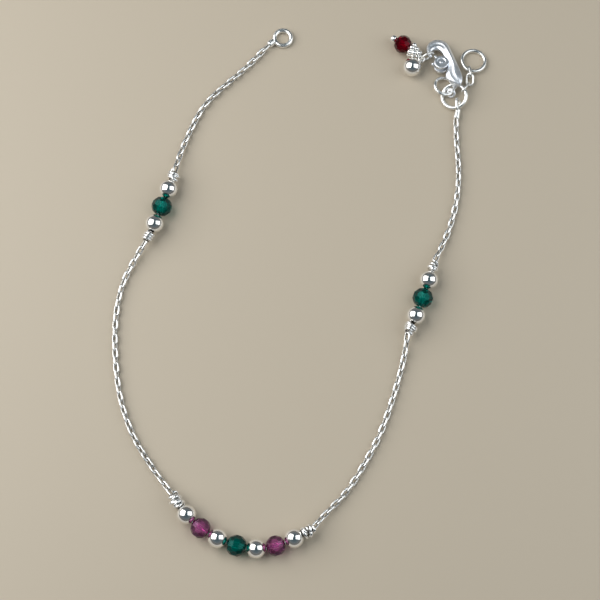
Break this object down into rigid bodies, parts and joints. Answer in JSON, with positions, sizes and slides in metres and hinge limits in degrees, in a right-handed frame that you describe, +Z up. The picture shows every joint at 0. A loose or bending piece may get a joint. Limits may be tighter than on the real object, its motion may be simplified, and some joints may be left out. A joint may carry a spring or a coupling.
{
  "type": "beaded chain anklet",
  "caption": "Fine silver chain anklet with stations of silver balls and cut glass beads, a lobster clasp, small charms and an extender ring.",
  "frame": {"origin": "on the surface it lies on, under the middle of the anklet's box", "axes": "+Z up from the surface; +Y towards the anklet's two ends; +X towards the clasp's side"},
  "size_m": [0.0789, 0.1136, 0.0043],
  "materials": {
    "oval_link_chain": "bright silver chain of small oval links",
    "polished_ball": "mirror-polished silver",
    "purple_glass": "faceted purple glass",
    "green_glass": "faceted deep green glass",
    "red_glass": "faceted dark red glass",
    "wrapped_wire": "bright silver wire and granules",
    "cast_clasp": "tumble-polished cast silver",
    "ring_wire": "bright silver ring wire"
  },
  "bodies": {
    "anklet": {"bottom_coil_1": "wrapped_wire", "bottom_coil_2": "wrapped_wire", "bottom_green_bead_4": "green_glass", "bottom_purple_bead_2": "purple_glass", "bottom_purple_bead_6": "purple_glass", "bottom_silver_ball_1": "polished_ball", "bottom_silver_ball_3": "polished_ball", "bottom_silver_ball_5": "polished_ball", "bottom_silver_ball_7": "polished_ball", "bottom_thread": "wrapped_wire", "chain_end_loop": "ring_wire", "chain_left_lower": "oval_link_chain", "chain_left_upper": "oval_link_chain", "chain_right_lower": "oval_link_chain", "chain_right_upper": "oval_link_chain", "charm_ball": "polished_ball", "charm_ring": "ring_wire", "clasp_body": "cast_clasp", "end_ring": "ring_wire", "extender_link_1": "ring_wire", "extender_link_2": "ring_wire", "extender_link_3": "ring_wire", "extender_ring": "ring_wire", "granule_cap": "wrapped_wire", "head_pin": "wrapped_wire", "jump_ring_large": "ring_wire", "jump_ring_small": "ring_wire", "left_coil_1": "wrapped_wire", "left_coil_2": "wrapped_wire", "left_green_bead_2": "green_glass", "left_silver_ball_1": "polished_ball", "left_silver_ball_3": "polished_ball", "left_thread": "wrapped_wire", "red_bead": "red_glass", "right_coil_1": "wrapped_wire", "right_coil_2": "wrapped_wire", "right_green_bead_2": "green_glass", "right_silver_ball_1": "polished_ball", "right_silver_ball_3": "polished_ball", "right_thread": "wrapped_wire"},
    "lever": {"clasp_lever": "cast_clasp"}
  },
  "joints": [
    {"name": "lever_hinge", "type": "hinge", "parent": "anklet", "child": "lever", "pos_m": [0.0295, 0.0478, 0.00197], "axis": [0.0485, -0.1304, -0.9903], "range_deg": [0, 22], "stiffness_Nm_per_rad": 0.005, "springref_deg": -20.05}
  ]
}
